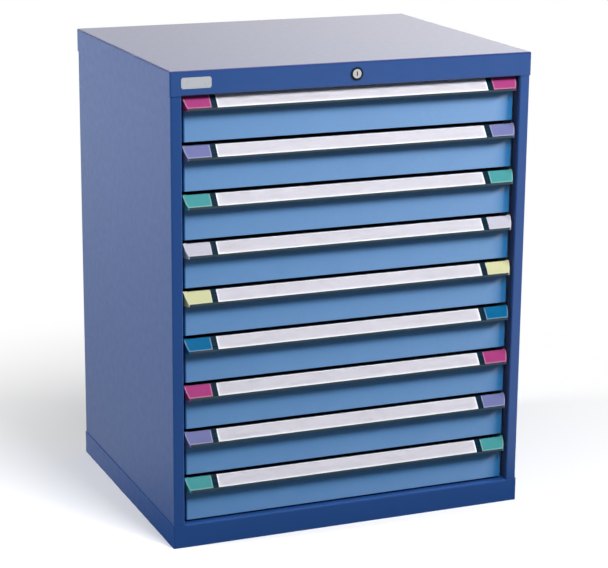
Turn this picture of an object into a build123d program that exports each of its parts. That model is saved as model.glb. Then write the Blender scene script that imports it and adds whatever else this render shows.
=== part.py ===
from build123d import *

import math
import os

# Industrial drawer cabinet: full-width drawers with grip rails, carried by telescopic roller runners
# in a folded steel housing, and held shut by a central lock in the header.
# Millimetres. The origin is the middle of the base, the drawers open towards -Y and +Z is up.

# Driving dimensions
width = 800
depth = 650
drawer_count = 9
drawer_pitch = 100
header_height = 50
plinth_height = 50

# Sheet metal and cuts
housing_sheet = 1.5
drawer_sheet = 1.2
bend_radius = 2
overrun = 5

# Housing folds
face_stand = 2  # grip rails and lock flange stand this far in front of the header
stile_width = 25
stile_return = 25
rear_flange = 25
header_return = 20
edge_fold = 8
sill_depth = 30
floor_fold = 20
end_gap = 0.4

# Plinth flanges and the holes that take floor bolts
foot_flange = 30
side_foot_flange = 66
floor_bolt_hole_radius = 6
floor_bolt_inset_x = 45
floor_bolt_inset_y = 75

# Drawer fronts and trays
front_recess = 15
front_side_gap = 7.5
front_lift = 5
front_drop = 7
front_return = 12
tray_lift = 12
tray_wall_drop = 20
tray_lip = 6
tray_rear_space = 28.5

# Telescopic runners
rail_sheet = 1.5
track_depth = 7
track_height = 28
carrier_thickness = 3.5
carrier_height = 24
carrier_gap = 0.5
runner_lift = 40
roller_gap = 0.3
roller_sides = 12  # flats on each roller, to keep the many rollers light
roller_side_gap = 0.5
roller_spacing = 275
roller_inset = 15
stop_gap = 1.3

# Uprights that hold the fixed rails
upright_sheet = 2
upright_width = 40
upright_front_gap = 6.5
upright_rear_gap = 30.5

# Grip rails, label strips and end caps
grip_drop = 2
grip_slope_height = 25
grip_nose_height = 3.5
grip_wall = 2.4
grip_leg = 15
grip_leg_wall = 1.8
grip_hook = 2
groove_depth = 1
groove_lip = 1.4
grip_crown = 0.6
label_end_gap = 13
label_thickness = 0.8
label_gap = 0.2
cap_length = 57
cap_thickness = 1.8
cap_side_gap = 5
cap_end_wall = 1.5
cap_end_taper = 6.5
cap_end_bulge = 2

# Central lock
lock_hole_radius = 11.2
lock_barrel_radius = 11
lock_barrel_length = 30
lock_flange_radius = 13.5
lock_nut_flats = 28
lock_nut_thickness = 5
plug_radius = 9.7
plug_gap = 0.05
plug_sink = 0.4
keyhole_height = 9
keyhole_width = 2.2
keyhole_depth = 12
rod_radius = 4
crank_radius = 9
crank_eye_radius = 7
crank_thickness = 4
crank_pin_radius = 3
crank_pin_gap = 0.4
lock_turn = 90

# Locking bar, its guides and the catches on the drawers
bar_thickness = 3
bar_half_width = 18
bar_gap = 0.3
bar_foot_gap = 12
bar_head = 8
hook_thickness = 4
hook_tooth = 4
hook_arm_height = 8
hook_gap = 1.5
catch_half_width = 15
catch_lip_height = 13.5
guide_height = 24
guide_foot = 14
guide_count = 3

# Housing planes worked out from the sizes above
height = plinth_height + drawer_count * drawer_pitch + header_height
drawers_bottom = plinth_height
drawers_top = plinth_height + drawer_count * drawer_pitch
front_y = -depth / 2 + face_stand
rear_y = depth / 2
opening_half = width / 2 - stile_width
skin_half = width / 2 - housing_sheet
skin_front = front_y + housing_sheet
skin_rear = rear_y - housing_sheet
wall_half = skin_half - housing_sheet
back_face = skin_rear - 2 * housing_sheet
outer_bend = bend_radius + housing_sheet
wall_top = height - housing_sheet - bend_radius

# Drawer planes
drawer_face = front_y + front_recess
drawer_inner_face = drawer_face + drawer_sheet
front_half = opening_half - front_side_gap
runner_space = 2 * (rail_sheet + track_depth + carrier_gap) + carrier_thickness
tray_half = opening_half - runner_space
tray_rear = back_face - tray_rear_space

# Runner planes: the fixed rail, the roller carrier and the drawer's own rail, from outside inwards
rail_front = skin_front + stile_return + upright_front_gap
rail_rear = back_face - upright_rear_gap
fixed_rail_tip = opening_half - rail_sheet - track_depth
carrier_outer = fixed_rail_tip - carrier_gap
carrier_inner = carrier_outer - carrier_thickness
drawer_rail_tip = tray_half + rail_sheet + track_depth
rail_height = track_height + 2 * rail_sheet
roller_radius = track_height / 2 - roller_gap
roller_width = track_depth - roller_side_gap - carrier_gap
rear_roller_y = rail_rear - roller_inset
front_roller_y = rail_front + roller_inset
half_travel = rear_roller_y - roller_spacing - roller_radius - stop_gap - rail_front
travel = 2 * half_travel

# Lock planes
lock_z = height - header_height / 2
bar_rear = back_face - bar_gap
bar_front = bar_rear - bar_thickness
bar_lift = 2 * crank_radius * math.sin(math.radians(lock_turn / 2))
catch_lip_rear = tray_rear + tray_rear_space / 2
catch_lip_front = catch_lip_rear - drawer_sheet
hook_front = catch_lip_front - hook_gap - hook_tooth


def along_x(face, start, end):
    """Stand a (y, z) outline up and extrude it from one x to another."""
    plane = Plane(origin=(start, 0, 0), x_dir=(0, 1, 0), z_dir=(1, 0, 0))
    return extrude(plane * face, amount=end - start)


def along_y(face, start, end):
    """Stand an (x, z) outline up and extrude it from one y to another."""
    plane = Plane(origin=(0, end, 0), x_dir=(1, 0, 0), z_dir=(0, -1, 0))
    return extrude(plane * face, amount=end - start)


def along_z(face, start, end):
    """Extrude a flat (x, y) outline from one height to another."""
    return extrude(Plane.XY.offset(start) * face, amount=end - start)


def block(x, y, z):
    """A box between two places along each axis."""
    centre = ((x[0] + x[1]) / 2, (y[0] + y[1]) / 2, (z[0] + z[1]) / 2)
    return Pos(*centre) * Box(x[1] - x[0], y[1] - y[0], z[1] - z[0])


def outline(points):
    """A flat face with straight sides."""
    return make_face(Polyline(*points, close=True))


def bent(points, sheet, radius):
    """The cross-section of a sheet bent round a radius, with the metal to the left of its outer face."""
    path = FilletPolyline(*points, radius=radius)
    return make_face(offset(path, sheet, side=Side.LEFT).edges())


def creased(points, sheet):
    """The cross-section of a sheet with sharp folds, for channels that stay out of sight."""
    path = Polyline(*points)
    return make_face(offset(path, sheet, kind=Kind.INTERSECTION, side=Side.LEFT).edges())


def both_sides(shape):
    """A piece and its twin across the middle of the cabinet."""
    return [shape, mirror(shape, about=Plane.YZ)]


def save(name, pieces):
    """Write one named piece, or one group of like pieces, as a STEP file."""
    solids = []
    for piece in pieces:
        solids += piece.solids()
    shape = solids[0] if len(solids) == 1 else Compound(children=solids)
    export_step(shape, f"parts/{name}.step")


def folded_edge(shell, edge_z, wall_z, flange):
    """Replace a band of the front wall between the stiles by one that folds back into a flange."""
    half = opening_half - end_gap
    low = min(edge_z, wall_z)
    high = max(edge_z, wall_z)
    shell -= block((-half, half), (front_y - overrun, skin_front), (low, high))
    points = [(front_y + flange, edge_z), (front_y, edge_z), (front_y, wall_z)]
    if wall_z > edge_z:
        points = points[::-1]
    return shell + along_x(bent(points, housing_sheet, outer_bend), -half, half)


# Top cover: a folded cap whose skirt hangs over the panels, with a return under its front edge
def top_cover():
    cap = block((-width / 2, width / 2), (front_y, rear_y), (drawers_top, height))
    upright_edges = cap.edges().filter_by(Axis.Z)
    top_edges = cap.faces().sort_by(Axis.Z)[-1].edges()
    cap = fillet(upright_edges + top_edges, outer_bend)
    hollow = block(
        (-skin_half, skin_half),
        (skin_front, skin_rear),
        (drawers_top - overrun, height - housing_sheet),
    )
    cap -= hollow
    cap = folded_edge(cap, drawers_top, drawers_top + edge_fold, header_return)
    lock_hole = Circle(lock_hole_radius)
    return cap - along_y(Pos(0, lock_z) * lock_hole, front_y - overrun, skin_front + overrun)


# Plinth: a welded frame with a flange that rests on the floor and a sill between the stiles
def base_plinth():
    frame = block((-width / 2, width / 2), (front_y, rear_y), (0, plinth_height))
    frame = fillet(frame.edges().filter_by(Axis.Z), outer_bend)
    hollow = block(
        (-skin_half, skin_half),
        (skin_front, skin_rear),
        (housing_sheet, plinth_height + overrun),
    )
    frame -= hollow
    frame = folded_edge(frame, plinth_height, plinth_height - edge_fold, sill_depth)
    frame -= block(
        (-width / 2 + side_foot_flange, width / 2 - side_foot_flange),
        (front_y + foot_flange, rear_y - foot_flange),
        (-overrun, housing_sheet + overrun),
    )
    bolt_x = width / 2 - floor_bolt_inset_x
    for x in (-bolt_x, bolt_x):
        for y in (front_y + floor_bolt_inset_y, rear_y - floor_bolt_inset_y):
            hole = Pos(x, y) * Circle(floor_bolt_hole_radius)
            frame -= along_z(hole, -overrun, housing_sheet + overrun)
    return frame


# Floor panel: a hat-shaped sheet under the lowest drawer, held at the sill and the uprights
def floor_panel():
    top = plinth_height - housing_sheet
    points = [
        (opening_half, top - floor_fold),
        (opening_half, top),
        (-opening_half, top),
        (-opening_half, top - floor_fold),
    ]
    return along_y(creased(points, housing_sheet), skin_front + bend_radius, back_face)


# Side panel: one sheet folded into the front stile, its return and the rear flange
def side_panel():
    section = bent(
        [
            (opening_half, skin_front + stile_return),
            (opening_half, skin_front),
            (skin_half, skin_front),
            (skin_half, skin_rear),
            (skin_half - rear_flange, skin_rear),
        ],
        housing_sheet,
        outer_bend,
    )
    return along_z(section, housing_sheet, wall_top)


# Back panel: a shallow tray-shaped sheet riveted inside the rear flanges
def back_panel():
    rear = skin_rear - housing_sheet
    half = wall_half - bend_radius
    points = [(half, rear - rear_flange), (half, rear), (-half, rear), (-half, rear - rear_flange)]
    return along_z(creased(points, housing_sheet), housing_sheet, wall_top)


# Uprights: four channels welded to the side panels
def runner_uprights():
    pieces = []
    for front in (rail_front, rail_rear - upright_width):
        rear = front + upright_width
        points = [(wall_half, rear), (opening_half, rear), (opening_half, front), (wall_half, front)]
        section = creased(points, upright_sheet)
        pieces += both_sides(along_z(section, housing_sheet, wall_top))
    return pieces


def rail_section(web, tip, z):
    """A channel on its side, open from its web towards its tips."""
    low = z - rail_height / 2
    high = z + rail_height / 2
    points = [(tip, low), (web, low), (web, high), (tip, high)]
    if tip > web:
        points = points[::-1]
    return creased(points, rail_sheet)


# Fixed rails: one channel on each side of every drawer, hooked on the uprights
def fixed_rails():
    pieces = []
    for row in range(drawer_count):
        z = drawers_bottom + row * drawer_pitch + runner_lift
        rail = along_y(rail_section(opening_half, fixed_rail_tip, z), rail_front, rail_rear)
        pieces += both_sides(rail)
    return pieces


# Roller carriers: the middle stage, a bar with two rollers in the fixed rail and two in the drawer's
def roller_carriers(bottom):
    z = bottom + runner_lift
    bar = block(
        (carrier_inner, carrier_outer),
        (rail_front, rail_rear),
        (z - carrier_height / 2, z + carrier_height / 2),
    )
    pieces = both_sides(bar)
    roller = RegularPolygon(roller_radius, roller_sides)
    for y in (rear_roller_y, rear_roller_y - roller_spacing):
        turned = along_x(Pos(y, z) * roller, carrier_outer, carrier_outer + roller_width)
        pieces += both_sides(turned)
    for y in (front_roller_y, front_roller_y + roller_spacing):
        turned = along_x(Pos(y, z) * roller, carrier_inner - roller_width, carrier_inner)
        pieces += both_sides(turned)
    return pieces


def front_sheet(bottom):
    """The folded drawer front: side returns, and a turned-in bottom and top edge."""
    low = bottom + front_lift
    high = bottom + drawer_pitch - front_drop
    fold = bend_radius + drawer_sheet
    section = bent(
        [
            (-front_half, drawer_face + front_return),
            (-front_half, drawer_face),
            (front_half, drawer_face),
            (front_half, drawer_face + front_return),
        ],
        drawer_sheet,
        fold,
    )
    sheet = along_z(section, low, high)
    inner_half = front_half - drawer_sheet
    for start in (low, high - drawer_sheet):
        sheet += block(
            (-inner_half, inner_half),
            (drawer_inner_face - drawer_sheet / 2, drawer_face + front_return),
            (start, start + drawer_sheet),
        )
    return sheet


# Drawer: front, tray, side rails and the rear catch, spot-welded into one unit
def drawer_box(bottom):
    floor = bottom + tray_lift
    rim = bottom + drawer_pitch - tray_wall_drop
    lip_end = tray_half + tray_lip
    inner_half = tray_half - drawer_sheet
    points = [
        (lip_end, rim),
        (inner_half, rim),
        (inner_half, floor + drawer_sheet),
        (-inner_half, floor + drawer_sheet),
        (-inner_half, rim),
        (-lip_end, rim),
    ]
    box = front_sheet(bottom) + along_y(creased(points, drawer_sheet), drawer_inner_face, tray_rear)
    box += block(
        (-inner_half, inner_half),
        (tray_rear - drawer_sheet, tray_rear),
        (floor, rim),
    )
    z = bottom + runner_lift
    rail = along_y(rail_section(tray_half, drawer_rail_tip, z), drawer_inner_face, rail_rear)
    box += rail + mirror(rail, about=Plane.YZ)
    catch = outline(
        [
            (tray_rear - drawer_sheet / 2, rim),
            (tray_rear - drawer_sheet / 2, rim - drawer_sheet),
            (catch_lip_front, rim - drawer_sheet),
            (catch_lip_front, rim - catch_lip_height),
            (catch_lip_rear, rim - catch_lip_height),
            (catch_lip_rear, rim),
        ]
    )
    return box + along_x(catch, -catch_half_width, catch_half_width)


class GripLine:
    """The sloping face of a grip rail, given as distance down the slope and depth behind it."""

    def __init__(self, bottom):
        self.top = Vector(drawer_face + grip_hook, bottom + drawer_pitch - grip_drop)
        reach = grip_hook + front_recess + face_stand
        self.nose = self.top + Vector(-reach, -grip_slope_height)
        self.length = (self.nose - self.top).length
        self.down = (self.nose - self.top) / self.length
        self.inward = Vector(-self.down.Y, self.down.X)
        if self.inward.X < 0:
            self.inward = -self.inward

    def at(self, distance, sink):
        point = self.top + self.down * distance + self.inward * sink
        return (point.X, point.Y)


def sloping_strip(line, start, end, sink, rise, thickness):
    """A thin strip on the slope whose outer face is slightly crowned."""
    crown_top = line.at(start, sink - rise)
    crown_middle = line.at((start + end) / 2, sink - rise - grip_crown)
    crown_end = line.at(end, sink - rise)
    sides = Polyline(
        crown_end,
        line.at(end, sink - rise + thickness),
        line.at(start, sink - rise + thickness),
        crown_top,
    )
    return make_face(ThreePointArc(crown_top, crown_middle, crown_end).edges() + sides.edges())


# Grip rail: an extruded section that hooks over the drawer front, hollow behind for the fingers
def grip_rail(bottom):
    line = GripLine(bottom)
    seat = bottom + drawer_pitch - front_drop
    leg_y = drawer_face - grip_leg_wall
    leg_end = line.top.Y - grip_leg
    nose_y = line.nose.X
    nose_z = line.nose.Y
    leg_top = line.at(0, grip_wall)
    slope = line.down.Y / line.down.X
    inner_corner_z = leg_top[1] + slope * (leg_y - leg_top[0])
    inner_nose_y = nose_y + grip_wall
    inner_nose_z = leg_top[1] + slope * (inner_nose_y - leg_top[0])
    section = outline(
        [
            (drawer_face, leg_end),
            (drawer_face, seat),
            (drawer_face + grip_hook, seat),
            line.at(0, 0),
            line.at(groove_lip, 0),
            line.at(groove_lip, groove_depth),
            line.at(line.length - groove_lip, groove_depth),
            line.at(line.length - groove_lip, 0),
            (nose_y, nose_z),
            (nose_y, nose_z - grip_nose_height),
            (inner_nose_y, nose_z - grip_nose_height),
            (inner_nose_y, inner_nose_z),
            (leg_y, inner_corner_z),
            (leg_y, leg_end),
        ]
    )
    half = opening_half - cap_side_gap - cap_end_taper - cap_end_wall
    return along_x(section, -half, half)


# Label strip: a thin plate that lies in the rail's groove between the caps
def label_strip(bottom):
    line = GripLine(bottom)
    start = groove_lip + label_gap
    end = line.length - groove_lip - label_gap
    section = sloping_strip(line, start, end, groove_depth, label_thickness, label_thickness)
    half = opening_half - cap_side_gap - cap_length - label_end_gap
    return along_x(section, -half, half)


# End caps: moulded covers that lie in the groove and close both ends of the rail
def grip_caps(bottom):
    line = GripLine(bottom)
    start = groove_lip + label_gap
    end = line.length - groove_lip - label_gap
    outer = opening_half - cap_side_gap
    rail_end = outer - cap_end_taper - cap_end_wall
    plate = sloping_strip(line, start, end, groove_depth, cap_thickness, cap_thickness)
    cap = along_x(plate, outer - cap_length, outer)
    wall = outline(
        [
            line.at(0, 0),
            line.at(groove_lip, -cap_thickness + groove_depth),
            line.at(line.length - groove_lip, -cap_thickness + groove_depth),
            (line.nose.X, line.nose.Y),
            (line.nose.X, line.nose.Y - grip_nose_height),
            (drawer_face - end_gap, line.nose.Y - grip_nose_height),
            (drawer_face - end_gap, line.top.Y - grip_drop),
        ]
    )
    cap += along_x(wall, rail_end, outer)
    trim = make_face(
        Polyline(
            (outer - cap_end_taper, line.nose.X - overrun),
            (outer + overrun, line.nose.X - overrun),
            (outer + overrun, line.top.X + overrun),
            (outer, line.top.X + overrun),
            (outer, line.top.X),
        ).edges()
        + ThreePointArc(
            (outer, line.top.X),
            (outer - cap_end_taper / 2 + cap_end_bulge, (line.top.X + line.nose.X) / 2),
            (outer - cap_end_taper, line.nose.X),
        ).edges()
        + Line(
            (outer - cap_end_taper, line.nose.X), (outer - cap_end_taper, line.nose.X - overrun)
        ).edges()
    )
    cap -= along_z(trim, bottom, bottom + drawer_pitch + overrun)
    return both_sides(cap)


# Lock body: a flanged barrel through the header, held by a nut on the inside
def lock_body():
    barrel = along_y(Pos(0, lock_z) * Circle(lock_barrel_radius), front_y, front_y + lock_barrel_length)
    flange = along_y(Pos(0, lock_z) * Circle(lock_flange_radius), front_y - face_stand, front_y)
    bore = Pos(0, lock_z) * Circle(plug_radius + plug_gap)
    rear = front_y + lock_barrel_length + overrun
    return barrel + flange - along_y(bore, front_y - face_stand - overrun, rear)


def lock_nut():
    hexagon = RegularPolygon(lock_nut_flats / 2, 6, major_radius=False)
    ring = Pos(0, lock_z) * (hexagon - Circle(lock_barrel_radius))
    return along_y(ring, skin_front, skin_front + lock_nut_thickness)


# Lock plug: turns in the barrel, with a keyhole in its face
def lock_plug():
    face_y = front_y - face_stand + plug_sink
    rear = front_y + lock_barrel_length
    plug = along_y(Pos(0, lock_z) * Circle(plug_radius), face_y, rear)
    slot = Pos(0, lock_z) * SlotOverall(keyhole_height, keyhole_width, rotation=90)
    return plug - along_y(slot, face_y - overrun, face_y + keyhole_depth)


# Lock rod: runs back from the plug to a crank whose pin lifts the locking bar
def lock_rod():
    rear = bar_front - bar_gap
    rod = along_y(Pos(0, lock_z) * Circle(rod_radius), front_y + lock_barrel_length, rear)
    angle = math.radians(lock_turn / 2)
    pin_x = -crank_radius * math.cos(angle)
    pin_z = lock_z - crank_radius * math.sin(angle)
    hub = Pos(0, lock_z) * Circle(crank_eye_radius)
    eye = Pos(pin_x, pin_z) * Circle(crank_eye_radius)
    arm = make_hull((hub + eye).edges())
    rod += along_y(arm, rear - crank_thickness, rear)
    pin = Pos(pin_x, pin_z) * Circle(crank_pin_radius)
    return rod + along_y(pin, rear - crank_thickness, bar_rear)


# Locking bar: a strip behind the drawers with one hook for each catch
def locking_bar():
    foot = plinth_height + bar_foot_gap
    head = lock_z + bar_head
    bar = block((-bar_half_width, bar_half_width), (bar_front, bar_rear), (foot, head))
    angle = math.radians(lock_turn / 2)
    pin_z = lock_z - crank_radius * math.sin(angle)
    near = crank_radius * math.cos(angle)
    slot_long = crank_radius - near + 2 * (crank_pin_radius + crank_pin_gap)
    slot_high = 2 * (crank_pin_radius + crank_pin_gap)
    slot_x = -(near + crank_radius) / 2
    bar -= along_y(
        Pos(slot_x, pin_z) * SlotOverall(slot_long, slot_high), bar_front - overrun, bar_rear + overrun
    )
    for row in range(drawer_count):
        rim = drawers_bottom + row * drawer_pitch + drawer_pitch - tray_wall_drop
        lip_end = rim - catch_lip_height
        tooth_top = lip_end - hook_gap
        arm_top = lip_end - bar_lift - hook_gap
        hook = outline(
            [
                (bar_front, arm_top),
                (hook_front + hook_tooth, arm_top),
                (hook_front + hook_tooth, tooth_top),
                (hook_front, tooth_top),
                (hook_front, arm_top - hook_arm_height),
                (bar_front, arm_top - hook_arm_height),
            ]
        )
        bar += along_x(hook, -hook_thickness / 2, hook_thickness / 2)
    return bar


# Bar guides: hat-shaped straps riveted to the back panel over the locking bar
def bar_guides():
    pieces = []
    inner = bar_half_width + bar_gap
    front = bar_front - bar_gap
    outer = inner + housing_sheet
    foot_face = back_face - housing_sheet
    points = [
        (-outer - guide_foot, foot_face),
        (-outer, foot_face),
        (-outer, front - housing_sheet),
        (outer, front - housing_sheet),
        (outer, foot_face),
        (outer + guide_foot, foot_face),
    ]
    section = creased(points, housing_sheet)
    spacing = (drawer_count - 1) * drawer_pitch / (guide_count - 1)
    for index in range(guide_count):
        z = drawers_bottom + index * spacing
        pieces.append(along_z(section, z + bar_foot_gap, z + bar_foot_gap + guide_height))
    return pieces


os.makedirs("parts", exist_ok=True)

save("top_cover", [top_cover()])
save("base_plinth", [base_plinth()])
save("floor_panel", [floor_panel()])
right_panel, left_panel = both_sides(side_panel())
save("right_side_panel", [right_panel])
save("left_side_panel", [left_panel])
save("back_panel", [back_panel()])
save("runner_uprights", runner_uprights())
save("fixed_rails", fixed_rails())
save("lock_body", [lock_body()])
save("lock_nut", [lock_nut()])
save("lock_plug", [lock_plug()])
save("lock_rod", [lock_rod()])
save("locking_bar", [locking_bar()])
save("bar_guides", bar_guides())

for number in range(1, drawer_count + 1):
    bottom = drawers_top - number * drawer_pitch
    save(f"drawer_{number}_box", [drawer_box(bottom)])
    save(f"drawer_{number}_grip_rail", [grip_rail(bottom)])
    save(f"drawer_{number}_label", [label_strip(bottom)])
    save(f"drawer_{number}_caps", grip_caps(bottom))
    save(f"drawer_{number}_carriers", roller_carriers(bottom))

print(f"drawer travel {travel:.2f} mm, carrier travel {half_travel:.2f} mm, bar lift {bar_lift:.2f} mm")
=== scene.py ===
import math

import bmesh
import bpy
from mathutils import Matrix, Vector


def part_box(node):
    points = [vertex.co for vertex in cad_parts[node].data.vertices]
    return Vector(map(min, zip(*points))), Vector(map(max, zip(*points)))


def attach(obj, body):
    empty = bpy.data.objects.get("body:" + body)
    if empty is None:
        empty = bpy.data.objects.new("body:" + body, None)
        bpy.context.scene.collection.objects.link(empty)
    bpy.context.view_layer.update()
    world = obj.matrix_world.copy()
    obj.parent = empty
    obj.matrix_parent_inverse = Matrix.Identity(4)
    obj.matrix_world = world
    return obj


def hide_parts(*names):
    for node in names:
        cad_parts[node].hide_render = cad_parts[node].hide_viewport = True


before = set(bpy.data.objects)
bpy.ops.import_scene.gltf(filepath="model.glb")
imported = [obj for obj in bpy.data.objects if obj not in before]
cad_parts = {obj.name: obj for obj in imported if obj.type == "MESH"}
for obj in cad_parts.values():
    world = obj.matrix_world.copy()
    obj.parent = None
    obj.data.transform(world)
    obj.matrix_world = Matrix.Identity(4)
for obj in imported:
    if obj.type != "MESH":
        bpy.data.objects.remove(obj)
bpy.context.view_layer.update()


# Side panels. One sheet of 1.5 mm steel each, folded round the front into a stile with a return and
# round the back into a flange. Welded to the plinth and the uprights, then powder coated blue.
housing_blue = (0.0135, 0.0585, 0.212)
housing_blue_pale = (0.0160, 0.0635, 0.228)
housing_gloss = 1.46
housing_roughness = 0.37
noise_low, noise_high = 0.3, 0.7
patch_cells, satin_cells, peel_cells = 7, 60, 420
satin_spread = 0.04
peel_depth = 0.00006


def material_nodes(name):
    """A new material with its nodes, its links and its main shader."""
    material = bpy.data.materials.new(name)
    material.use_nodes = True
    tree = material.node_tree
    return material, tree.nodes, tree.links, tree.nodes["Principled BSDF"]


def noise(nodes, links, scale, detail=2.0, stretch=(1, 1, 1)):
    """A noise pattern fixed to the piece, in cells per metre."""
    place = nodes.new("ShaderNodeTexCoord")
    mapping = nodes.new("ShaderNodeMapping")
    mapping.inputs["Scale"].default_value = stretch
    pattern = nodes.new("ShaderNodeTexNoise")
    pattern.inputs["Scale"].default_value = scale
    pattern.inputs["Detail"].default_value = detail
    links.new(place.outputs["Object"], mapping.inputs["Vector"])
    links.new(mapping.outputs["Vector"], pattern.inputs["Vector"])
    return pattern.outputs["Fac"]


def blended_colour(nodes, links, factor, first, second):
    """Mix two colours by a pattern."""
    mix = nodes.new("ShaderNodeMix")
    mix.data_type = "RGBA"
    mix.inputs["A"].default_value = (*first, 1)
    mix.inputs["B"].default_value = (*second, 1)
    links.new(factor, mix.inputs["Factor"])
    return mix.outputs["Result"]


def spread(nodes, links, factor, low, high):
    """Spread a pattern between two values."""
    mapped = nodes.new("ShaderNodeMapRange")
    mapped.inputs["From Min"].default_value = noise_low
    mapped.inputs["From Max"].default_value = noise_high
    mapped.inputs["To Min"].default_value = low
    mapped.inputs["To Max"].default_value = high
    links.new(factor, mapped.inputs["Value"])
    return mapped.outputs["Result"]


def bumps(nodes, links, shader, height, distance):
    """Let a pattern raise and lower the surface."""
    bump = nodes.new("ShaderNodeBump")
    bump.inputs["Distance"].default_value = distance
    links.new(height, bump.inputs["Height"])
    links.new(bump.outputs["Normal"], shader.inputs["Normal"])


def powder_coat(name, colour, pale, gloss, rough, sheen=0.0, coat=0.0):
    """Baked powder paint: even colour, satin gloss and a fine orange-peel skin."""
    material, nodes, links, shader = material_nodes(name)
    patches = noise(nodes, links, patch_cells, 4)
    links.new(blended_colour(nodes, links, patches, colour, pale), shader.inputs["Base Color"])
    clouds = noise(nodes, links, satin_cells, 3)
    satin = spread(nodes, links, clouds, rough - satin_spread, rough + satin_spread)
    links.new(satin, shader.inputs["Roughness"])
    bumps(nodes, links, shader, noise(nodes, links, peel_cells, 3), peel_depth)
    shader.inputs["IOR"].default_value = gloss
    shader.inputs["Sheen Weight"].default_value = sheen
    shader.inputs["Sheen Roughness"].default_value = 0.4
    shader.inputs["Coat Weight"].default_value = coat
    shader.inputs["Coat Roughness"].default_value = 0.3
    shader.inputs["Coat IOR"].default_value = 1.8
    return material


def dress(node, material):
    """Give a CAD node its finish."""
    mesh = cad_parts[node].data
    mesh.materials.clear()
    mesh.materials.append(material)


housing_paint = powder_coat(
    "housing_powder_coat", housing_blue, housing_blue_pale, housing_gloss, housing_roughness, sheen=0.3
)
dress("left_side_panel", housing_paint)
dress("right_side_panel", housing_paint)


# Plinth. A welded steel frame with a flange that stands on the floor, holes for floor bolts and a
# folded sill across the front. It stands a sheet's thickness proud of the side panels. Its paint has the
# same colour, without the fine dust that the tall sides show at a low angle.
plinth_paint = powder_coat(
    "plinth_powder_coat", housing_blue, housing_blue_pale, housing_gloss, housing_roughness
)
dress("base_plinth", plinth_paint)
dress("floor_panel", plinth_paint)


# Top cover. A steel cap folded down on all sides over the panels; its front skirt is the header that
# holds the lock. Its flat top has a darker copy of the same paint, painted shade against the strong light
# from above, with a thicker coat that catches the light at a low angle.
cover_top_shaded_blue = (0.004, 0.012, 0.120)
cover_top_shaded_pale = (0.005, 0.014, 0.132)
cover_gloss = 1.38
flat_top_from, flat_top_slope = 0.99, 0.3
shaded_top_paint = powder_coat(
    "cover_top_shaded_powder_coat", cover_top_shaded_blue, cover_top_shaded_pale, cover_gloss, housing_roughness, sheen=0.5, coat=0.8
)
dress("top_cover", housing_paint)
cover_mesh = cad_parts["top_cover"].data
cover_mesh.materials.append(shaded_top_paint)
# The up-facing top faces take the darker copy: painted shade.
for face in cover_mesh.polygons:
    if face.normal.z > flat_top_slope and face.center.z > flat_top_from:
        face.material_index = 1


# Header plate. A thin pale plastic plate, stuck on the header at the left and bare. Its corners are
# punched round and its front edge is eased.
plate_left, plate_right = -0.3765, -0.3130
plate_low, plate_high = 0.9640, 0.9865
plate_thickness = 0.0005
plate_corner = 0.0022
plate_edge = plate_thickness * 0.4
plate_white = (0.41, 0.415, 0.44)
plate_white_pale = (0.46, 0.465, 0.49)
header_face = -0.3230
sharp_edge_angle = math.radians(30)
one_surface_angle = math.radians(60)
tolerance = 0.000001


def keep_flats(mesh):
    """Weigh the normals by face area, so that flat faces stay flat beside their rounded edges."""
    faces_at = [[] for _ in mesh.vertices]
    for face in mesh.polygons:
        for vertex in face.vertices:
            faces_at[vertex].append(face)
    limit = math.cos(one_surface_angle)
    normals = []
    for face in mesh.polygons:
        for vertex in face.vertices:
            near = [other for other in faces_at[vertex] if other.normal.dot(face.normal) > limit]
            normals.append(sum((other.normal * other.area for other in near), Vector()).normalized())
    mesh.normals_split_custom_set(normals)


def new_piece(name, shape, material):
    """Turn a bmesh into a piece at the origin with one material."""
    mesh = bpy.data.meshes.new(name)
    shape.normal_update()
    shape.to_mesh(mesh)
    shape.free()
    mesh.materials.append(material)
    mesh.set_sharp_from_angle(angle=sharp_edge_angle)
    mesh.polygons.foreach_set("use_smooth", [True] * len(mesh.polygons))
    keep_flats(mesh)
    piece = bpy.data.objects.new(name, mesh)
    bpy.context.scene.collection.objects.link(piece)
    return piece


def rounded_plate(low, high, corner, edge):
    """A plate between two corners, its upright corners rounded and its front edge eased."""
    shape = bmesh.new()
    bmesh.ops.create_cube(shape, size=1)
    size = Vector(high) - Vector(low)
    bmesh.ops.scale(shape, vec=size, verts=shape.verts)
    bmesh.ops.translate(shape, vec=(Vector(low) + Vector(high)) / 2, verts=shape.verts)
    corners = [e for e in shape.edges if abs(e.verts[0].co.y - e.verts[1].co.y) > size.y / 2]
    bmesh.ops.bevel(shape, geom=corners, offset=corner, segments=6, affect="EDGES")
    front = min(v.co.y for v in shape.verts)
    rim = [e for e in shape.edges if all(abs(v.co.y - front) < tolerance for v in e.verts)]
    bmesh.ops.bevel(shape, geom=rim, offset=edge, segments=2, affect="EDGES")
    return shape


plate_finish, nodes, links, shader = material_nodes("plate_white_film")
faded = blended_colour(nodes, links, noise(nodes, links, 30, 3), plate_white, plate_white_pale)
links.new(faded, shader.inputs["Base Color"])
links.new(spread(nodes, links, noise(nodes, links, 200), 0.26, 0.34), shader.inputs["Roughness"])
plate = new_piece(
    "header_plate",
    rounded_plate(
        (plate_left, header_face - plate_thickness, plate_low),
        (plate_right, header_face, plate_high),
        plate_corner,
        plate_edge,
    ),
    plate_finish,
)
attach(plate, "housing")


# Back panel. A folded sheet set inside the rear flanges of the side panels and held by blind rivets,
# whose domed heads show on the flanges. The heads are one shape set on two rows of points.
rivet_head_radius = 0.0032
rivet_head_rise = 0.0011
rivet_row_x = 0.3865
rivet_face = 0.3235
rivet_count = 9
rivet_lowest, rivet_highest = 0.09, 0.93
dress("back_panel", housing_paint)


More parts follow.
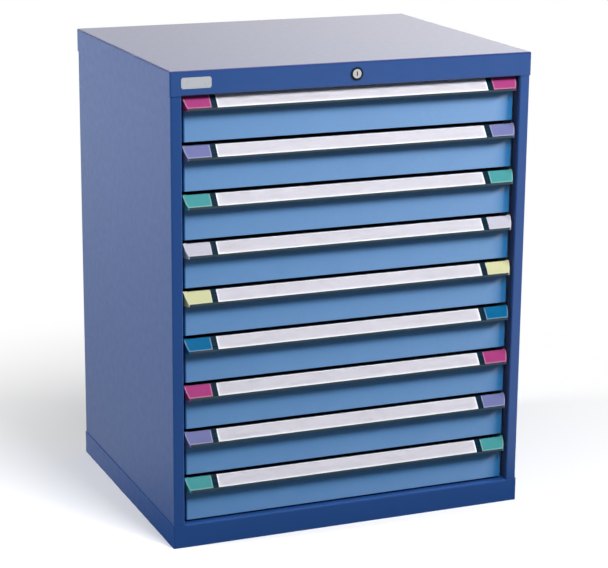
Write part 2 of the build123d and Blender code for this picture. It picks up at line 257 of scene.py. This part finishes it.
def tree_with(name, inputs):
    """An empty Geometry Nodes tree with its geometry sockets and named number inputs."""
    tree = bpy.data.node_groups.new(name, "GeometryNodeTree")
    tree.interface.new_socket("Points", in_out="INPUT", socket_type="NodeSocketGeometry")
    for label, kind in inputs:
        tree.interface.new_socket(label, in_out="INPUT", socket_type=kind)
    tree.interface.new_socket("Pieces", in_out="OUTPUT", socket_type="NodeSocketGeometry")
    return tree, tree.nodes.new("NodeGroupInput").outputs, tree.nodes.new("NodeGroupOutput")


def feed(tree, socket, value):
    """Set a socket to a number, or link another socket to it."""
    if isinstance(value, (int, float)):
        socket.default_value = value
    else:
        tree.links.new(value, socket)


def maths(tree, operation, first, second):
    """One sum between two sockets or numbers."""
    node = tree.nodes.new("ShaderNodeMath")
    node.operation = operation
    feed(tree, node.inputs[0], first)
    feed(tree, node.inputs[1], second)
    return node.outputs[0]


def turned_ring(tree, low_radius, high_radius, depth, lift, sides=24):
    """A turned step of a small round part: a cone between two radii, standing on a height."""
    cone = tree.nodes.new("GeometryNodeMeshCone")
    cone.inputs["Vertices"].default_value = sides
    for label, value in (("Radius Bottom", low_radius), ("Radius Top", high_radius), ("Depth", depth)):
        feed(tree, cone.inputs[label], value)
    place = tree.nodes.new("ShaderNodeCombineXYZ")
    feed(tree, place.inputs["Z"], lift)
    move = tree.nodes.new("GeometryNodeTransform")
    tree.links.new(cone.outputs["Mesh"], move.inputs["Geometry"])
    tree.links.new(place.outputs["Vector"], move.inputs["Translation"])
    return move.outputs["Geometry"]


def set_on_points(tree, start, end, shapes):
    """Join the shapes, set the result on each point with its turn, and make it real with its finish."""
    join = tree.nodes.new("GeometryNodeJoinGeometry")
    for shape in shapes:
        tree.links.new(shape, join.inputs["Geometry"])
    turn = tree.nodes.new("FunctionNodeEulerToRotation")
    tree.links.new(start["Turn"], turn.inputs["Euler"])
    instances = tree.nodes.new("GeometryNodeInstanceOnPoints")
    tree.links.new(start["Points"], instances.inputs["Points"])
    tree.links.new(join.outputs["Geometry"], instances.inputs["Instance"])
    tree.links.new(turn.outputs["Rotation"], instances.inputs["Rotation"])
    real = tree.nodes.new("GeometryNodeRealizeInstances")
    finish = tree.nodes.new("GeometryNodeSetMaterial")
    tree.links.new(instances.outputs["Instances"], real.inputs["Geometry"])
    tree.links.new(real.outputs["Geometry"], finish.inputs["Geometry"])
    tree.links.new(start["Finish"], finish.inputs["Material"])
    tree.links.new(finish.outputs["Geometry"], end.inputs["Pieces"])


def grown(name, tree, points, values):
    """Run a tree on a set of points and keep its result as a plain mesh piece."""
    seed = bpy.data.meshes.new(name + "_points")
    seed.from_pydata(points, [], [])
    carrier = bpy.data.objects.new(name + "_points", seed)
    bpy.context.scene.collection.objects.link(carrier)
    modifier = carrier.modifiers.new("grow", "NODES")
    modifier.node_group = tree
    for item in tree.interface.items_tree:
        if item.in_out == "INPUT" and item.name in values:
            modifier[item.identifier] = values[item.name]
    result = carrier.evaluated_get(bpy.context.evaluated_depsgraph_get())
    mesh = bpy.data.meshes.new_from_object(result)
    bpy.data.objects.remove(carrier)
    mesh.name = name
    mesh.polygons.foreach_set("use_smooth", [True] * len(mesh.polygons))
    mesh.set_sharp_from_angle(angle=sharp_edge_angle)
    piece = bpy.data.objects.new(name, mesh)
    bpy.context.scene.collection.objects.link(piece)
    return piece


rivet_tree, start, end = tree_with(
    "blind_rivet_heads",
    [
        ("Head radius", "NodeSocketFloat"),
        ("Head rise", "NodeSocketFloat"),
        ("Turn", "NodeSocketVector"),
        ("Finish", "NodeSocketMaterial"),
    ],
)
radius, rise = start["Head radius"], start["Head rise"]
shoulder = maths(rivet_tree, "MULTIPLY", radius, 0.86)
crown = maths(rivet_tree, "MULTIPLY", radius, 0.48)
pin = maths(rivet_tree, "MULTIPLY", radius, 0.34)
pin_end = maths(rivet_tree, "MULTIPLY", radius, 0.3)
lower_rise = maths(rivet_tree, "MULTIPLY", rise, 0.45)
upper_rise = maths(rivet_tree, "MULTIPLY", rise, 0.4)
pin_rise = maths(rivet_tree, "MULTIPLY", rise, 0.97)
set_on_points(
    rivet_tree,
    start,
    end,
    [
        turned_ring(rivet_tree, radius, shoulder, lower_rise, 0),
        turned_ring(rivet_tree, shoulder, crown, upper_rise, lower_rise),
        turned_ring(rivet_tree, pin, pin_end, pin_rise, 0),
    ],
)


def bare_steel(name, colour, low, high, grain=(1, 1, 1), metal=1.0):
    """Zinc-plated or turned steel with a faint drawn grain; a dull plating is less than fully metallic."""
    material, nodes, links, shader = material_nodes(name)
    pale = tuple(min(1, c * 1.18) for c in colour)
    shade = blended_colour(nodes, links, noise(nodes, links, 90, 5, grain), colour, pale)
    links.new(shade, shader.inputs["Base Color"])
    links.new(spread(nodes, links, noise(nodes, links, 240, 3, grain), low, high), shader.inputs["Roughness"])
    bumps(nodes, links, shader, noise(nodes, links, 700, 2, grain), 0.00002)
    shader.inputs["Metallic"].default_value = metal
    return material


rivet_steel = bare_steel("rivet_aluminium", (0.50, 0.51, 0.53), 0.30, 0.42)
rivet_pitch = (rivet_highest - rivet_lowest) / (rivet_count - 1)
rivet_heights = [rivet_lowest + k * rivet_pitch for k in range(rivet_count)]
back_rivets = grown(
    "back_panel_rivets",
    rivet_tree,
    [(x, rivet_face, z) for x in (-rivet_row_x, rivet_row_x) for z in rivet_heights],
    {
        "Head radius": rivet_head_radius,
        "Head rise": rivet_head_rise,
        "Turn": (-math.pi / 2, 0, 0),
        "Finish": rivet_steel,
    },
)
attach(back_rivets, "housing")


# Uprights and fixed rails. Four folded channels welded to the side panels, with one channel-shaped rail
# hooked on them at each side of every drawer. All are zinc-plated sheet.
runner_steel = bare_steel("zinc_plated_sheet", (0.46, 0.47, 0.49), 0.28, 0.42, (1, 0.12, 1), 0.6)
dress("runner_uprights", runner_steel)
dress("fixed_rails", runner_steel)


# Locking bar, its guides, and the rod that lifts it. A steel strip with a hook for each drawer slides in
# three hat-shaped straps on the back panel; the crank at the end of the lock's rod carries it.
guide_rivet_in = 0.007
guide_half_height = 0.012
guide_foot_depth = 0.0037
for node in ("locking_bar", "lock_rod", "lock_nut", "bar_guides"):
    dress(node, runner_steel)
guide_low, guide_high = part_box("bar_guides")
guide_middle = (guide_low.z + guide_high.z) / 2
guide_heights = (guide_low.z + guide_half_height, guide_middle, guide_high.z - guide_half_height)
guide_sides = (guide_low.x + guide_rivet_in, guide_high.x - guide_rivet_in)
guide_rivets = grown(
    "bar_guide_rivets",
    rivet_tree,
    [(x, guide_low.y + guide_foot_depth, z) for x in guide_sides for z in guide_heights],
    {
        "Head radius": rivet_head_radius,
        "Head rise": rivet_head_rise,
        "Turn": (math.pi / 2, 0, 0),
        "Finish": rivet_steel,
    },
)
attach(guide_rivets, "housing")


# Lock. A pin-tumbler cylinder: a dark flanged barrel pushed through the header and a chrome plug with
# an upright keyhole. Both are turned parts, so their edges are eased.
ring_edge = 0.0007
plug_edge = 0.0004
least_bevel_angle = math.radians(35)
coplanar_angle = math.radians(1)


def softened(node, width, segments, chosen=None):
    """A merged copy of a CAD node's mesh with its sharp edges rounded."""
    shape = bmesh.new()
    shape.from_mesh(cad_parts[node].data)
    bmesh.ops.remove_doubles(shape, verts=shape.verts, dist=tolerance)
    bmesh.ops.dissolve_limit(shape, angle_limit=coplanar_angle, verts=shape.verts, edges=shape.edges)
    sharp = [e for e in shape.edges if len(e.link_faces) == 2 and e.calc_face_angle(0) > least_bevel_angle]
    if chosen is not None:
        sharp = [e for e in sharp if chosen(e)]
    bmesh.ops.bevel(
        shape, geom=sharp, offset=width, segments=segments, profile=0.5, affect="EDGES", clamp_overlap=True
    )
    return shape


lock_ring_finish = bare_steel("lock_ring_dark_nickel", (0.055, 0.058, 0.066), 0.22, 0.34)
lock_chrome = bare_steel("lock_plug_chrome", (0.72, 0.73, 0.75), 0.10, 0.18, metal=0.8)
lock_body = new_piece("lock_barrel", softened("lock_body", ring_edge, 3), lock_ring_finish)
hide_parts("lock_body")
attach(lock_body, "housing")
lock_plug = new_piece("lock_chrome_plug", softened("lock_plug", plug_edge, 3), lock_chrome)
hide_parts("lock_plug")
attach(lock_plug, "lock_plug_unit")


# Drawers. Each is a folded front spot-welded to a folded tray, with a channel on each side for the
# rollers and a catch at the back for the locking bar. Powder coated in a lighter blue.
drawer_blue = (0.010, 0.160, 0.415)
drawer_blue_pale = (0.013, 0.171, 0.437)
drawer_gloss = 2.1
drawer_roughness = 0.65
drawer_count = 9
drawer_pitch = 0.100
drawers_top = 0.950
front_face = -0.3080
front_edge = 0.0012
tray_inner = 0.3523
weld_radius = 0.0026
weld_rise = 0.00025
weld_sides = 20
weld_count = 7
weld_first, weld_pitch = -0.27, 0.09
weld_height = 0.040
drawer_paint = powder_coat(
    "drawer_powder_coat", drawer_blue, drawer_blue_pale, drawer_gloss, drawer_roughness
)
satin_pieces = bpy.data.collections.new("satin_pieces")

weld_tree, start, end = tree_with(
    "weld_spots",
    [
        ("Spot radius", "NodeSocketFloat"),
        ("Spot rise", "NodeSocketFloat"),
        ("Turn", "NodeSocketVector"),
        ("Finish", "NodeSocketMaterial"),
    ],
)
radius, rise = start["Spot radius"], start["Spot rise"]
spot_top = maths(weld_tree, "MULTIPLY", radius, 0.8)
nipple = maths(weld_tree, "MULTIPLY", radius, 0.45)
nipple_top = maths(weld_tree, "MULTIPLY", radius, 0.25)
nipple_rise = maths(weld_tree, "MULTIPLY", rise, 0.5)
set_on_points(
    weld_tree,
    start,
    end,
    [
        turned_ring(weld_tree, radius, spot_top, rise, 0, weld_sides),
        turned_ring(weld_tree, nipple, nipple_top, nipple_rise, rise, weld_sides),
    ],
)


def on_front_rim(edge):
    """Is this an edge of the front sheet's outer face?"""
    return all(v.co.y < front_face + 10 * tolerance for v in edge.verts)


for number in range(1, drawer_count + 1):
    bottom = drawers_top - number * drawer_pitch
    box = new_piece(
        f"drawer_{number}_folded_box",
        softened(f"drawer_{number}_box", front_edge, 3, on_front_rim),
        drawer_paint,
    )
    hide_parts(f"drawer_{number}_box")
    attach(box, f"drawer_{number}")
    satin_pieces.objects.link(box)
    for side, x, turn in (("left", -tray_inner, math.pi / 2), ("right", tray_inner, -math.pi / 2)):
        welds = grown(
            f"drawer_{number}_welds_{side}",
            weld_tree,
            [(x, weld_first + k * weld_pitch, bottom + weld_height) for k in range(weld_count)],
            {
                "Spot radius": weld_radius,
                "Spot rise": weld_rise,
                "Turn": (0, turn, 0),
                "Finish": drawer_paint,
            },
        )
        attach(welds, f"drawer_{number}")


# Grip rails. An extruded plastic section, near black, hooked over the top edge of each drawer front and
# hollow behind for the fingers. Its face slopes to a narrow nose, painted paler all along as a painted
# reflection.
rail_dark = (0.0020, 0.0140, 0.0280)
rail_dark_pale = (0.0040, 0.0200, 0.0380)
nose_reflection_grey = (0.045, 0.065, 0.075)
painted_nose_face = -0.3246
rail_edge = 0.0003
rail_gloss = 1.25


def place_parts(nodes, links, system):
    """The x, y and z of a place, as sockets."""
    place = nodes.new("ShaderNodeTexCoord")
    apart = nodes.new("ShaderNodeSeparateXYZ")
    links.new(place.outputs[system], apart.inputs["Vector"])
    return apart.outputs


rail_finish, nodes, links, shader = material_nodes("grip_rail_plastic")
skin = blended_colour(nodes, links, noise(nodes, links, 40, 3, (0.1, 1, 1)), rail_dark, rail_dark_pale)
depth = place_parts(nodes, links, "Object")["Y"]
# The nose face takes a paler colour: a painted reflection of the light its gloss would catch.
on_nose = maths(rail_finish.node_tree, "LESS_THAN", depth, painted_nose_face)
reflected_nose = blended_colour(nodes, links, on_nose, rail_dark, nose_reflection_grey)
links.new(skin, reflected_nose.node.inputs["A"])
links.new(reflected_nose, shader.inputs["Base Color"])
drawn = noise(nodes, links, 300, 2, (0.05, 1, 1))
links.new(spread(nodes, links, drawn, 0.24, 0.34), shader.inputs["Roughness"])
bumps(nodes, links, shader, noise(nodes, links, 900, 2, (0.03, 1, 1)), 0.00002)
shader.inputs["IOR"].default_value = rail_gloss

for number in range(1, drawer_count + 1):
    rail = new_piece(
        f"drawer_{number}_grip_profile", softened(f"drawer_{number}_grip_rail", rail_edge, 2), rail_finish
    )
    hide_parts(f"drawer_{number}_grip_rail")
    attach(rail, f"drawer_{number}")


# Label strips. A white plastic strip snapped in the rail's groove between the caps. A bare card lies on
# its crowned face, a little inside its edges.
label_white = (0.86, 0.86, 0.88)
label_white_warm = (0.85, 0.84, 0.89)
card_white = (0.800, 0.785, 0.835)
card_white_pale = (0.815, 0.800, 0.850)
label_edge = 0.00025
card_thickness, card_lift = 0.0001, 0.00005
card_top_margin, card_bottom_margin, card_end_margin = 0.0010, 0.0024, 0.0030
card_steps = 10
label_finish, nodes, links, shader = material_nodes("label_strip_plastic")
uneven = blended_colour(nodes, links, noise(nodes, links, 25, 3), label_white, label_white_warm)
links.new(uneven, shader.inputs["Base Color"])
links.new(spread(nodes, links, noise(nodes, links, 150), 0.22, 0.30), shader.inputs["Roughness"])
card_finish, nodes, links, shader = material_nodes("label_card")
fibres = blended_colour(nodes, links, noise(nodes, links, 90, 3), card_white, card_white_pale)
links.new(fibres, shader.inputs["Base Color"])
links.new(spread(nodes, links, noise(nodes, links, 80), 0.48, 0.58), shader.inputs["Roughness"])
bumps(nodes, links, shader, noise(nodes, links, 1500, 3), 0.00001)

rail_low, rail_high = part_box("drawer_1_grip_rail")
rail_nose_height = 0.0035
first_bottom = drawers_top - drawer_pitch
slope_top = Vector((rail_high.y, rail_high.z - first_bottom))
slope_nose = Vector((rail_low.y, rail_low.z + rail_nose_height - first_bottom))
slope_length = (slope_nose - slope_top).length
slope_down = (slope_nose - slope_top) / slope_length
slope_out = Vector((-abs(slope_down.y), abs(slope_down.x)))
strip_margin = 0.0016
strip_start, strip_end = strip_margin, slope_length - strip_margin
strip_half = 0.300
strip_sink, strip_crown = 0.0002, 0.0006


def slope_point(distance, rise, bottom):
    """A (y, z) place on a grip rail's slope, with a rise above it."""
    place = slope_top + slope_down * distance + slope_out * rise
    return place.x, place.y + bottom


def crown_rise(distance):
    """How far the crowned strip stands above the slope at a distance down it."""
    share = (distance - strip_start) / (strip_end - strip_start)
    return strip_crown * 4 * share * (1 - share) - strip_sink


def card_sheet(bottom):
    """A thin card that follows the crown of the strip."""
    shape = bmesh.new()
    first, last = strip_start + card_top_margin, strip_end - card_bottom_margin
    half = strip_half - card_end_margin
    rows = []
    for k in range(card_steps + 1):
        distance = first + k * (last - first) / card_steps
        y, z = slope_point(distance, crown_rise(distance) + card_lift, bottom)
        rows.append((shape.verts.new((-half, y, z)), shape.verts.new((half, y, z))))
    for upper, lower in zip(rows, rows[1:]):
        shape.faces.new((upper[0], lower[0], lower[1], upper[1]))
    bmesh.ops.solidify(shape, geom=shape.faces[:], thickness=card_thickness)
    bmesh.ops.recalc_face_normals(shape, faces=shape.faces)
    return shape


for number in range(1, drawer_count + 1):
    bottom = drawers_top - number * drawer_pitch
    strip = new_piece(
        f"drawer_{number}_label_strip", softened(f"drawer_{number}_label", label_edge, 2), label_finish
    )
    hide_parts(f"drawer_{number}_label")
    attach(strip, f"drawer_{number}")
    card = new_piece(f"drawer_{number}_label_card", card_sheet(bottom), card_finish)
    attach(card, f"drawer_{number}")


# End caps. Moulded plastic covers pressed over both ends of the rail, in one colour for each drawer so
# that its contents are found quickly. A narrow rim along the sides and bottom of their sloping face is
# painted paler, a painted highlight.
cap_edge = 0.00075
rim_width = 0.0024
rim_least_area = 0.00004
rim_highlight_white, rim_highlight_share = 0.80, 0.14
slope_match = 0.97
cap_gloss = 1.15
cap_colours = {
    "magenta": (0.290, 0.035, 0.148),
    "lavender": (0.130, 0.140, 0.297),
    "green": (0.049, 0.237, 0.246),
    "white": (0.405, 0.398, 0.466),
    "yellow": (0.476, 0.473, 0.273),
    "petrol": (0.001, 0.096, 0.224),
}
cap_order = ("magenta", "lavender", "green", "white", "yellow", "petrol", "magenta", "lavender", "green")


def moulded_plastic(name, colour):
    """Coloured moulded plastic: even, glossy, with a faint flow pattern."""
    material, nodes, links, shader = material_nodes(name)
    pale = tuple(min(1, c * 1.08 + 0.006) for c in colour)
    flow = blended_colour(nodes, links, noise(nodes, links, 60, 3), colour, pale)
    links.new(flow, shader.inputs["Base Color"])
    links.new(spread(nodes, links, noise(nodes, links, 260, 2), 0.20, 0.26), shader.inputs["Roughness"])
    bumps(nodes, links, shader, noise(nodes, links, 1100, 2), 0.00001)
    shader.inputs["IOR"].default_value = cap_gloss
    return material


def rim_highlight_colour(colour):
    """The paler colour painted on a cap's rim as a highlight."""
    return tuple((1 - rim_highlight_share) * c + rim_highlight_share * rim_highlight_white for c in colour)


def lies_on_slope(face):
    """Is this one of the large faces in line with the rail's slope?"""
    in_line = face.normal.y * slope_out.x + face.normal.z * slope_out.y
    return in_line > slope_match and face.calc_area() > rim_least_area


cap_finishes, rim_highlight_finishes = {}, {}
for name, colour in cap_colours.items():
    cap_finishes[name] = moulded_plastic(f"cap_{name}_plastic", colour)
for name, colour in cap_colours.items():
    rim_highlight_finishes[name] = moulded_plastic(f"rim_{name}_plastic", rim_highlight_colour(colour))
for number, colour in enumerate(cap_order, 1):
    shape = softened(f"drawer_{number}_caps", cap_edge, 3)
    rim_top = drawers_top - number * drawer_pitch + slope_top.y - rim_width
    sloping = [face for face in shape.faces if lies_on_slope(face)]
    rim = bmesh.ops.inset_region(shape, faces=sloping, thickness=rim_width, use_even_offset=True)
    # The rim below the slope's top edge takes the painted highlight; the top edge keeps the cap's colour.
    for face in rim["faces"]:
        if face.calc_center_median().z < rim_top:
            face.material_index = 1
    caps = new_piece(f"drawer_{number}_end_caps", shape, cap_finishes[colour])
    caps.data.materials.append(rim_highlight_finishes[colour])
    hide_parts(f"drawer_{number}_caps")
    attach(caps, f"drawer_{number}")


# Runners' middle stages. A flat steel bar on each side of a drawer, with two ball-bearing rollers in the
# fixed rail and two in the drawer's channel, each riveted through its middle.
carrier_inner, carrier_outer = 0.3625, 0.3660
carrier_half_length = 0.290
carrier_half_height = 0.012
carrier_edge = 0.0006
rear_roller = 0.275
roller_radius = 0.0137
roller_width = 0.0060
roller_edge = 0.0008
roller_lift = 0.0400
roller_sides = 40
roller_finish = bare_steel("roller_steel", (0.56, 0.57, 0.60), 0.16, 0.26, metal=0.7)

roller_tree, start, end = tree_with(
    "rollers",
    [
        ("Roller radius", "NodeSocketFloat"),
        ("Roller width", "NodeSocketFloat"),
        ("Edge", "NodeSocketFloat"),
        ("Turn", "NodeSocketVector"),
        ("Finish", "NodeSocketMaterial"),
    ],
)
radius, wide, edge = start["Roller radius"], start["Roller width"], start["Edge"]
shoulder = maths(roller_tree, "SUBTRACT", radius, edge)
straight = maths(roller_tree, "SUBTRACT", wide, maths(roller_tree, "MULTIPLY", edge, 2))
far_side = maths(roller_tree, "SUBTRACT", wide, edge)
hub = maths(roller_tree, "MULTIPLY", radius, 0.36)
hub_edge = maths(roller_tree, "MULTIPLY", radius, 0.30)
hub_width = maths(roller_tree, "MULTIPLY", wide, 1.06)
set_on_points(
    roller_tree,
    start,
    end,
    [
        turned_ring(roller_tree, shoulder, radius, edge, 0, roller_sides),
        turned_ring(roller_tree, radius, radius, straight, edge, roller_sides),
        turned_ring(roller_tree, radius, shoulder, edge, far_side, roller_sides),
        turned_ring(roller_tree, hub, hub_edge, hub_width, 0),
    ],
)


def middle_bars(middle):
    """The two flat bars of a middle stage, with eased edges, at a height."""
    shape = bmesh.new()
    for x in (-carrier_outer, carrier_inner):
        low = Vector((x, -carrier_half_length, middle - carrier_half_height))
        high = Vector((x + carrier_outer - carrier_inner, carrier_half_length, middle + carrier_half_height))
        made = bmesh.ops.create_cube(shape, size=1)["verts"]
        bmesh.ops.scale(shape, vec=high - low, verts=made)
        bmesh.ops.translate(shape, vec=(low + high) / 2, verts=made)
    bmesh.ops.bevel(shape, geom=shape.edges[:], offset=carrier_edge, segments=2, affect="EDGES")
    return shape


for number in range(1, drawer_count + 1):
    bottom = drawers_top - number * drawer_pitch
    middle = bottom + roller_lift
    bars = new_piece(f"drawer_{number}_middle_bars", middle_bars(middle), runner_steel)
    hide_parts(f"drawer_{number}_carriers")
    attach(bars, f"drawer_{number}_middle_stage")
    sizes = {
        "Roller radius": roller_radius,
        "Roller width": roller_width,
        "Edge": roller_edge,
        "Finish": roller_finish,
    }
    for side, way, turn in (("right", 1, math.pi / 2), ("left", -1, -math.pi / 2)):
        places = [(way * carrier_outer, y, middle) for y in (rear_roller, 0)]
        places += [(-way * carrier_inner, y, middle) for y in (-rear_roller, 0)]
        values = {**sizes, "Turn": (0, turn, 0)}
        rollers = grown(f"drawer_{number}_rollers_{side}", roller_tree, places, values)
        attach(rollers, f"drawer_{number}_middle_stage")


# Floor. A plain pale surface that keeps the cabinet's shadow and runs out of the picture on all sides.
# Further out it turns white, for the camera all round and in reflections behind and at the right.
floor_reach = 40
floor_white_start, floor_white_end = 0.50, 1.5
mirror_white_start, mirror_white_end = 0.6, 5.5
mirror_white_right = 0.65
mirror_white_near, mirror_white_behind = 0.50, 1.00
behind_start, behind_end = -0.4, 0.4
right_start, right_end = 0.2, 2.5
floor_seen_colour = (0.90, 0.90, 0.91)
floor_mirrored_colour = (0.02, 0.025, 0.03)
floor_bounce_colour = (0.20, 0.25, 0.29)
floor_finish, nodes, links, shader = material_nodes("studio_floor")
shader.inputs["Roughness"].default_value = 0.8
shader.inputs["Specular IOR Level"].default_value = 0.1
path = nodes.new("ShaderNodeLightPath").outputs
by_camera, by_diffuse = path["Is Camera Ray"], path["Is Diffuse Ray"]
seen_or_mirrored = blended_colour(nodes, links, by_camera, floor_mirrored_colour, floor_seen_colour)
all_rays = blended_colour(nodes, links, by_diffuse, floor_seen_colour, floor_bounce_colour)
links.new(seen_or_mirrored, all_rays.node.inputs["A"])
links.new(all_rays, shader.inputs["Base Color"])
place = nodes.new("ShaderNodeTexCoord")
distance = nodes.new("ShaderNodeVectorMath")
distance.operation = "LENGTH"
links.new(place.outputs["Object"], distance.inputs[0])
away = distance.outputs["Value"]
ground = place_parts(nodes, links, "Object")
floor_tree = floor_finish.node_tree


def ramp(tree, value, start, end, low=0.0, high=1.0, soft=True):
    """Run from low to high while a value runs from start to end."""
    node = tree.nodes.new("ShaderNodeMapRange")
    node.interpolation_type = "SMOOTHSTEP" if soft else "LINEAR"
    settings = {"Value": value, "From Min": start, "From Max": end, "To Min": low, "To Max": high}
    for label, setting in settings.items():
        feed(tree, node.inputs[label], setting)
    return node.outputs["Result"]


seen_far = ramp(floor_tree, away, floor_white_start, floor_white_end)
right_far = ramp(floor_tree, away, mirror_white_start, mirror_white_end, 0, mirror_white_right)
behind_far = ramp(
    floor_tree, away, mirror_white_start, mirror_white_end, mirror_white_near, mirror_white_behind
)
behind = ramp(floor_tree, ground["Y"], behind_start, behind_end)
at_right = ramp(floor_tree, ground["X"], right_start, right_end)
seen = maths(floor_tree, "MULTIPLY", seen_far, by_camera)
white_behind = maths(floor_tree, "MULTIPLY", behind_far, behind)
white_right = maths(floor_tree, "MULTIPLY", right_far, at_right)
white_side = maths(floor_tree, "MAXIMUM", white_behind, white_right)
mirrored = maths(floor_tree, "MULTIPLY", white_side, path["Is Glossy Ray"])
white = nodes.new("ShaderNodeEmission")
white.inputs["Color"].default_value = (1, 1, 1, 1)
both = nodes.new("ShaderNodeMixShader")
links.new(maths(floor_tree, "MAXIMUM", seen, mirrored), both.inputs["Fac"])
links.new(shader.outputs["BSDF"], both.inputs[1])
links.new(white.outputs["Emission"], both.inputs[2])
links.new(both.outputs["Shader"], nodes["Material Output"].inputs["Surface"])
floor_shape = bmesh.new()
bmesh.ops.create_grid(floor_shape, x_segments=1, y_segments=1, size=floor_reach)
floor = new_piece("studio_floor", floor_shape, floor_finish)


# Studio light. The camera sees a white surround, reflections a dark one that is white behind at the right
# and bright overhead, and a weak fill comes from all sides. Three soft lamps light the front and the sides;
# one more shows in the drawers' satin paint alone, and a dim card in the header, right stile and plinth.
fill_level = 0.13
room_level = 0.05
overhead_level = 2.0
front_until, back_from = -0.3, 0.3
back_left_until, back_right_from = 0.295, 0.48
back_left_level, back_right_level = 0.12, 1.10
sides_until, overhead_from = 0.7, 1.0
world = bpy.data.worlds.new("studio_surround")
bpy.context.scene.world = world
world.use_nodes = True
world_tree = world.node_tree
nodes, links = world_tree.nodes, world_tree.links
surround = nodes["Background"]
surround.inputs["Color"].default_value = (1, 1, 1, 1)
path = nodes.new("ShaderNodeLightPath").outputs
seen = maths(world_tree, "MAXIMUM", path["Is Camera Ray"], path["Is Glossy Ray"])
seen_too = maths(world_tree, "MAXIMUM", seen, path["Is Transmission Ray"])
sky = place_parts(nodes, links, "Generated")
back_level = ramp(
    world_tree, sky["X"], back_left_until, back_right_from, back_left_level, back_right_level, soft=False
)
round_about = ramp(world_tree, sky["Y"], front_until, back_from, room_level, back_level)
all_round = ramp(world_tree, sky["Z"], sides_until, overhead_from, round_about, overhead_level)
mirrored = maths(world_tree, "MAXIMUM", all_round, path["Is Camera Ray"])
level = ramp(world_tree, seen_too, 0, 1, fill_level, mirrored, soft=False)
links.new(level, surround.inputs["Strength"])


def soft_lamp(name, place, target, size, power, mirrored_in=None):
    """A large soft lamp for matt surfaces, or one that is mirrored in some pieces alone."""
    light = bpy.data.lights.new(name, "AREA")
    light.shape = "RECTANGLE"
    light.size, light.size_y = size
    light.energy = power
    lamp = bpy.data.objects.new(name, light)
    lamp.location = place
    lamp.rotation_euler = (Vector(place) - Vector(target)).to_track_quat("Z", "Y").to_euler()
    lamp.visible_camera = False
    lamp.visible_diffuse = mirrored_in is None
    lamp.visible_glossy = mirrored_in is not None
    if mirrored_in is not None:
        lamp.light_linking.receiver_collection = mirrored_in
    bpy.context.scene.collection.objects.link(lamp)


reflecting_pieces = bpy.data.collections.new("reflecting_pieces")
for node in ("right_side_panel", "top_cover", "base_plinth"):
    reflecting_pieces.objects.link(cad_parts[node])
front_middle = (0.1, -0.3, 0.6)
soft_lamp("key_lamp", place=(0.5, -2.6, 3.4), target=(0, -0.3, 0.4), size=(1.3, 1.1), power=140)
soft_lamp("right_lamp", place=(3.5, -2.1, 2.8), target=front_middle, size=(1.6, 1.4), power=115)
soft_lamp("left_lamp", place=(-3.2, 0.35, 2.2), target=(-0.4, 0, 0.75), size=(1.2, 1.6), power=125)
soft_lamp(
    "gloss_lamp",
    place=(4.4, -2.0, 3.0),
    target=front_middle,
    size=(1.4, 1.2),
    power=1250,
    mirrored_in=satin_pieces,
)
soft_lamp(
    "reflector_card",
    place=(1.40, -2.18, 0.31),
    target=(1.333, -2.058, 1.30),
    size=(2.0, 4.0),
    power=27,
    mirrored_in=reflecting_pieces,
)


# Camera, at the photograph's viewing angle: to the left of the front and a little above it, rolled by
# half a degree. A long lens keeps the cabinet's sides nearly parallel.
camera_turn = math.radians(-22.39)
camera_rise = math.radians(15.02)
camera_roll = math.radians(0.46)
camera_distance = 4.541
camera_aim = Vector((0, 0, 0.5))
camera_aside, camera_up = 0.019, -0.046
lens_length, sensor_width = 120.6, 36
back = Vector(
    (
        math.sin(camera_turn) * math.cos(camera_rise),
        -math.cos(camera_turn) * math.cos(camera_rise),
        math.sin(camera_rise),
    )
)
right = Vector((math.cos(camera_turn), math.sin(camera_turn), 0))
up = back.cross(right)
level_right = math.cos(camera_roll) * right + math.sin(camera_roll) * up
level_up = math.cos(camera_roll) * up - math.sin(camera_roll) * right
lens = bpy.data.cameras.new("photo_camera")
lens.lens = lens_length
lens.sensor_width = sensor_width
camera = bpy.data.objects.new("photo_camera", lens)
place = camera_aim + back * camera_distance + right * camera_aside + up * camera_up
turned = Matrix((level_right, level_up, back)).transposed().to_4x4()
camera.matrix_world = Matrix.Translation(place) @ turned
bpy.context.scene.collection.objects.link(camera)
bpy.context.scene.camera = camera
bpy.context.scene.view_settings.view_transform = "Standard"


def corners(box):
    """Two corners as plain lists."""
    return [[float(value) for value in corner] for corner in box]
